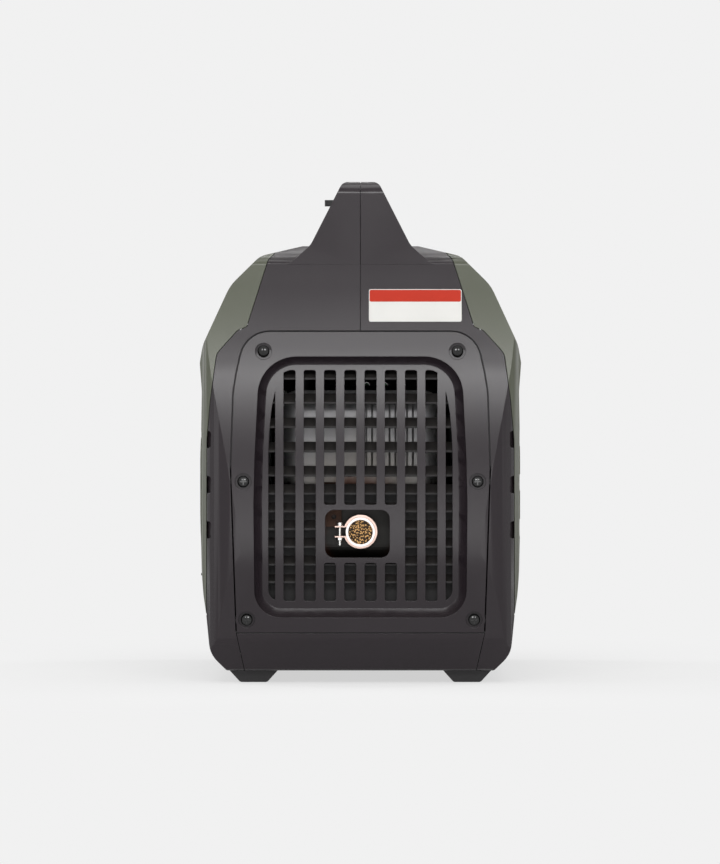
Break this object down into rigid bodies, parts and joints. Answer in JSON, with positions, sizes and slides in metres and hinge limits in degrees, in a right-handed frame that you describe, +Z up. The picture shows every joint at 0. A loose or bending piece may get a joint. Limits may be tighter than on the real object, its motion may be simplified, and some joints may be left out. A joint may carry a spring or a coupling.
{
  "type": "portable inverter generator",
  "caption": "Portable inverter generator in a closed casing with a carry handle, louvred exhaust end, recoil starter and control panel.",
  "frame": {"origin": "centre of the footprint, on the ground under the rubber feet", "axes": "+Z up; -Y towards the exhaust end; +Y towards the control panel; the crankshaft runs along Y"},
  "size_m": [0.2922, 0.4899, 0.45],
  "materials": {
    "shell_grey": "satin",
    "olive_panel": "satin",
    "black_plastic": "satin",
    "rubber": "matte",
    "black_steel": "gloss",
    "bright_steel": "satin",
    "heat_stained_steel": "stained",
    "rusty_mesh": "matte",
    "cast_aluminium": "matte",
    "painted_cover": "satin",
    "copper_winding": "gloss",
    "rotor_steel": "matte",
    "white_ceramic": "gloss",
    "filter_foam": "matte",
    "pulley_nylon": "satin",
    "rope_fibre": "matte",
    "grip_plastic": "satin",
    "switch_grey": "satin",
    "button_white": "gloss",
    "lamp_green": "gloss",
    "socket_red": "gloss",
    "brass": "satin"
  },
  "bodies": {
    "casing": {"left_body_shell": "shell_grey", "right_body_shell": "shell_grey", "left_side_panel": "olive_panel", "right_side_panel": "olive_panel", "rear_cover": "shell_grey", "louvre_panel": "black_plastic", "front_cover": "shell_grey", "base_tray": "shell_grey", "rubber_feet": "rubber", "case_screws": "black_steel", "muffler": "heat_stained_steel", "tailpipe": "bright_steel", "exhaust_clamp": "bright_steel", "clamp_bolt": "bright_steel", "spark_arrestor": "rusty_mesh", "exhaust_bracket": "bright_steel", "fuel_tank": "black_plastic", "fuel_valve": "cast_aluminium", "fuel_hose": "rubber", "crankcase": "cast_aluminium", "cylinder_block": "cast_aluminium", "cylinder_head": "cast_aluminium", "rocker_cover": "painted_cover", "alternator_stator": "copper_winding", "fan_shroud": "black_plastic", "spark_plug": "white_ceramic", "plug_cap_lead": "rubber", "ignition_coil": "rotor_steel", "carburettor": "cast_aluminium", "stepper_motor": "black_plastic", "air_cleaner_case": "black_plastic", "air_cleaner_cover": "black_plastic", "air_filter": "filter_foam", "engine_mounts": "rubber", "recoil_housing": "black_plastic", "inverter_unit": "cast_aluminium", "control_panel": "black_plastic", "ac_outlets": "black_plastic", "usb_outlet": "black_plastic", "indicator_lamps": "lamp_green", "parallel_ports": "socket_red", "earth_terminal": "brass"},
    "engine_shaft": {"crankshaft": "bright_steel", "alternator_rotor": "rotor_steel", "cooling_fan": "black_plastic"},
    "hand_grip": {"starter_grip": "grip_plastic", "starter_rope": "rope_fibre"},
    "starter_pulley": {"recoil_pulley": "pulley_nylon", "recoil_spring": "bright_steel"},
    "cap_seal": {"cap_gasket": "rubber"},
    "cap": {"fuel_cap": "black_plastic"},
    "cap_vent": {"vent_lever": "black_plastic"},
    "dial": {"engine_dial": "black_plastic"},
    "choke": {"choke_shaft": "bright_steel"},
    "throttle": {"throttle_shaft": "bright_steel"},
    "eco_rocker": {"eco_switch": "switch_grey"},
    "breaker_button": {"ac_breaker": "button_white"},
    "door": {"maintenance_door": "olive_panel"},
    "door_lock": {"door_knob": "black_plastic"},
    "oil_cap": {"oil_filler_cap": "black_plastic"}
  },
  "joints": [
    {"name": "crank_spin", "type": "hinge", "parent": "casing", "child": "engine_shaft", "pos_m": [0, 0, 0.122], "axis": [0, 1, 0], "continuous": true},
    {"name": "rope_pull", "type": "slide", "parent": "casing", "child": "hand_grip", "axis": [-1, 0, 0], "range_m": [0, 0.55], "deforming": ["starter_rope"]},
    {"name": "pulley_turn", "type": "hinge", "parent": "casing", "child": "starter_pulley", "pos_m": [0, 0.094, 0.122], "axis": [0, 1, 0], "range_deg": [-790, 1], "deforming": ["recoil_spring"]},
    {"name": "cap_lift", "type": "slide", "parent": "casing", "child": "cap_seal", "axis": [0, 0, 1], "range_m": [0, 0.0046]},
    {"name": "cap_turn", "type": "hinge", "parent": "cap_seal", "child": "cap", "pos_m": [0, 0.138, 0.395], "axis": [0, 0, 1], "range_deg": [0, 540]},
    {"name": "vent_turn", "type": "hinge", "parent": "cap", "child": "cap_vent", "pos_m": [0, 0.138, 0.428], "axis": [0, 0, 1], "range_deg": [0, 90]},
    {"name": "dial_turn", "type": "hinge", "parent": "casing", "child": "dial", "pos_m": [-0.054, 0.2362, 0.238], "axis": [0, 1, 0], "range_deg": [0, 140]},
    {"name": "choke_turn", "type": "hinge", "parent": "casing", "child": "choke", "pos_m": [-0.0702, -0.057, 0.236], "axis": [0, 0, 1], "range_deg": [0, 71]},
    {"name": "throttle_turn", "type": "hinge", "parent": "casing", "child": "throttle", "pos_m": [-0.0522, -0.057, 0.236], "axis": [0, 0, 1], "range_deg": [0, 80]},
    {"name": "eco_rock", "type": "hinge", "parent": "casing", "child": "eco_rocker", "pos_m": [0.024, 0.2332, 0.23], "axis": [1, 0, 0], "range_deg": [-16, 0]},
    {"name": "breaker_press", "type": "slide", "parent": "casing", "child": "breaker_button", "axis": [0, -1, 0], "range_m": [0, 0.003], "stiffness_N_per_m": 400},
    {"name": "door_swing", "type": "hinge", "parent": "casing", "child": "door", "pos_m": [-0.1442, -0.057, 0.093], "axis": [0, -1, 0], "range_deg": [0, 75]},
    {"name": "knob_turn", "type": "hinge", "parent": "door", "child": "door_lock", "pos_m": [-0.146, -0.057, 0.205], "axis": [1, 0, 0], "range_deg": [0, 90]},
    {"name": "oil_cap_turn", "type": "hinge", "parent": "casing", "child": "oil_cap", "pos_m": [-0.052, -0.07, 0.082], "axis": [-0.848, 0, 0.5299], "range_deg": [0, 360]}
  ],
  "couplings": [
    {"joint": "pulley_turn", "follows": "rope_pull", "rad_per_m": -24.69},
    {"joint": "cap_lift", "follows": "cap_turn", "m_per_rad": 0.00047746},
    {"joint": "choke_turn", "follows": "dial_turn", "ratio": 0.5}
  ]
}
